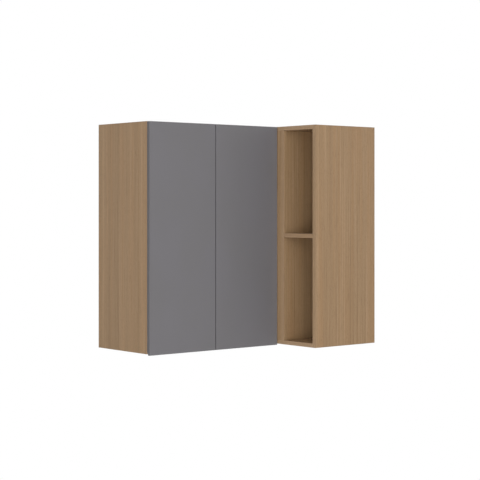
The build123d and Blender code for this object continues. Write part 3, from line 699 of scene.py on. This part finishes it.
# Dowels also hold the niche's shelf and both ends of the four rails
def dowelEnds(plan):
    line, spread = plan["line"] * millimetre, plan["railSpread"] * millimetre
    mainFaces = ((corners("left_side_panel")[1, 0], 1), (corners("right_side_panel")[0, 0], -1))
    nicheFaces = ((corners("niche_outer_side")[1, 1], 1), (corners("niche_inner_side")[0, 1], -1))
    niche = corners("niche_top_panel")
    level = corners("niche_shelf")[:, 2].mean()
    ends = boardEnds(line)
    ends += [((x, face, level), (0, way, 0)) for x in (niche[0, 0] + line, niche[1, 0] - line)
             for face, way in nicheFaces]
    for rail in ("upper_hanging_rail", "lower_hanging_rail"):
        y, z = corners(rail)[:, 1:].mean(0)
        ends += [((face, y, z + step), (way, 0, 0))
                 for face, way in mainFaces for step in (-spread, spread)]
    for rail in ("niche_upper_rail", "niche_lower_rail"):
        x, z = corners(rail)[:, ::2].mean(0)
        ends += [((x, face, z + step), (0, way, 0))
                 for face, way in nicheFaces for step in (-spread, spread)]
    return ends


# Each joint's seat lies further along its way into the board
def seated(ends, depth):
    return [(np.array(point) + np.array(way) * depth * millimetre, way) for point, way in ends]


# Flutes: radius = outer radius - flute depth * (1 - cos(flutes * angle)) / 2, less a chamfer at both ends
def dowelRings(plan):
    angle = roundAngles(plan)
    fluted = plan["radius"] - plan["fluteDepth"] * (1 - np.cos(plan["flutes"] * angle)) / 2
    chamfer, length = plan["chamfer"], plan["length"]
    less, height = (np.array(values)[:, None] for values in (
        (chamfer, 0.0, 0.0, chamfer), (0.0, -chamfer, chamfer - length, -length)))
    return ringPoints(fluted - less, angle, height)


# A bolt is its profile turned round its axis, and then its thread. Both kinds are repeated at their
# seats.
def makeBoardFittings(bolt, dowel):
    angle = roundAngles(bolt)
    thread = threadRings(bolt["radius"], bolt["threadStart"], bolt["length"], bolt, angle)
    rings = np.concatenate([plainRings(bolt["profile"], angle), thread])
    turnedPiece("camBolts", rings, seated(boardEnds(bolt["line"] * millimetre), bolt["seat"]), "carcass",
                "zincPlatedSteel", "cam_bolts")
    turnedPiece("beechDowels", dowelRings(dowel), seated(dowelEnds(dowel), dowel["seat"]), "carcass",
                "turnedBeech", "dowels")


makeBoardFittings(camBolt, beechDowel)
print("cam bolts and dowels made")

# Door buffers: small clear domes near the free corners of each door. Sizes in millimetres.
doorBuffer = {
    "radius": 4.0, "height": 1.8, "edge": 0.35, "roundness": 2.4, "innerRadius": 0.2,
    "inset": 12.0,                  # from the door's free edge
    "columns": 40, "rings": 10,
}


# Dome: height = edge + (full - edge) * (1 - (radius / outer radius) ** roundness), down to a flat base
def makeDoorBuffers(plan):
    radius = np.linspace(plan["innerRadius"], plan["radius"], plan["rings"])
    share = 1 - (radius / plan["radius"]) ** plan["roundness"]
    height = plan["edge"] + (plan["height"] - plan["edge"]) * share
    base = [(plan["radius"], 0.0), (plan["radius"] / 2, 0.0)]
    rings = plainRings([*zip(radius, height), *base], roundAngles(plan))
    levels = [corners(board)[:, 2].mean() for board in ("top_panel", "bottom_panel")]
    for side, free, way in (("left", 1, -1), ("right", 0, 1)):
        door = corners(side + "_door")
        column = door[free, 0] + way * plan["inset"] * millimetre
        places = [((column, door[1, 1], level), (0, 1, 0)) for level in levels]
        turnedPiece(side + "DoorBuffers", rings, places, side + "_door",
                    "softPolyurethane", side + "_door_bumpers")


makeDoorBuffers(doorBuffer)
print("door buffers made")

# Floor: pale matt studio floor, 1.4 m under the hung cabinet, fading to the white surroundings
studioFloor = {
    "height": -1.8, "radius": 6.0, "rings": 24, "columns": 64, "innerRadius": 0.1,      # metres
    "colour": "F0F0EE", "speckle": "ECECEA",
    "grain": ((14.0, 14.0, 14.0), 3.0), "toColour": (0.3, 0.7, 0.0, 1.0),
    "roughness": 0.7, "gloss": 0.2,
    "toWhite": (1.6, 3.6, 0.0, 1.0),    # distance from the middle in metres, then share of white
}


whiteLight = {"Color": (1, 1, 1, 1), "Strength": 1.0}       # strength 1 renders as plain white


# 1 for rays that show the surroundings themselves: seen straight, in a reflection or through glass
def showsSurroundings(tree):
    path = add(tree, "LightPath").outputs
    shown = add(tree, "Math", [path["Is Camera Ray"], path["Is Glossy Ray"]], operation="MAXIMUM")
    return add(tree, "Math", [shown, path["Is Transmission Ray"]], operation="MAXIMUM")


# The floor's points lie at radius r and angle a on a flat polar grid round one middle point. Its outer
# edge stays open.
def makeFloor(plan):
    radius = np.linspace(plan["innerRadius"], plan["radius"], plan["rings"])
    rings = plainRings([(reach, plan["height"]) for reach in radius], roundAngles(plan))
    points = np.concatenate([[[0.0, 0.0, plan["height"]]], rings.reshape(-1, 3)])
    faces = [face for face in turnedFaces(*rings.shape[:2], 1) if max(face) < len(points)]
    mesh = bpy.data.meshes.new("studioFloor")
    mesh.from_pydata(points.tolist(), [], faces)
    material, tree, coordinates = newMaterial("paleStudioFloor")
    place = coordinates["Object"]
    grain = grainNoise(tree, place, *plan["grain"])
    share = add(tree, "MapRange", [grain, *plan["toColour"]], interpolation_type="SMOOTHSTEP")
    tones = [share, colour(plan["speckle"]), colour(plan["colour"])]
    matt = add(tree, "BsdfPrincipled", {
        "Base Color": add(tree, "Mix", tones, data_type="RGBA"),
        "Roughness": plan["roughness"],
        "Specular IOR Level": plan["gloss"],
    })
    flat = add(tree, "VectorMath", [place, (1, 1, 0)], operation="MULTIPLY")
    reach = add(tree, "VectorMath", [flat], operation="LENGTH")
    far = add(tree, "MapRange", [reach, *plan["toWhite"]], interpolation_type="SMOOTHSTEP")
    fade = add(tree, "Math", [far, showsSurroundings(tree)], operation="MULTIPLY")
    white = add(tree, "Emission", whiteLight)
    add(tree, "OutputMaterial", [add(tree, "MixShader", [fade, matt, white])])
    mesh.materials.append(material)
    floor = bpy.data.objects.new("studioFloor", mesh)
    bpy.context.scene.collection.objects.link(floor)


makeFloor(studioFloor)
print("floor made")

# Light: an even pale room and large soft lamps, most of them on the side that the camera sees. The low
# one reaches into the niche. The back and right ones light the sides that face the walls.
studioLight = {
    "roomStrength": 0.28,
    "roomColour": "FBFCFF",
    "lampSize": 2.4,
    "target": (0.1, -0.4, 0.0),
    "lamps": {
        "cameraSoftbox": {"place": (-3.0, -4.6, 1.0), "power": 75.0},
        "frontSoftbox": {"place": (-1.2, -5.6, 1.0), "power": 24.0},
        "highSoftbox": {"place": (-2.6, -3.6, 4.0), "power": 28.0},
        "lowSoftbox": {"place": (-3.9, -3.9, -0.9), "power": 98.0},
        "frontRightSoftbox": {"place": (4.2, -3.6, 1.2), "power": 13.0},
        "backSoftbox": {"place": (0.8, 5.2, 1.8), "power": 70.0},
        "rightSoftbox": {"place": (5.3, 0.8, 1.4), "power": 50.0},
    },
}


def makeWorld(plan):
    world = bpy.data.worlds.new("studioRoom")
    bpy.context.scene.world = world
    world.use_nodes = True
    tree = world.node_tree
    tree.nodes.clear()
    room = add(tree, "Background", {"Color": colour(plan["roomColour"]), "Strength": plan["roomStrength"]})
    white = add(tree, "Background", whiteLight)
    add(tree, "OutputWorld", [add(tree, "MixShader", [showsSurroundings(tree), room, white])])


def makeLamps(plan):
    for name, lampPlan in plan["lamps"].items():
        data = bpy.data.lights.new(name, "AREA")
        data.shape, data.size, data.energy = "DISK", plan["lampSize"], lampPlan["power"]
        lamp = bpy.data.objects.new(name, data)
        lamp.location = lampPlan["place"]
        aim = Vector(plan["target"]) - Vector(lampPlan["place"])
        lamp.rotation_euler = aim.to_track_quat("-Z", "Y").to_euler()
        bpy.context.scene.collection.objects.link(lamp)


makeWorld(studioLight)
makeLamps(studioLight)
bpy.context.scene.view_settings.view_transform = "Standard"
print("light made")
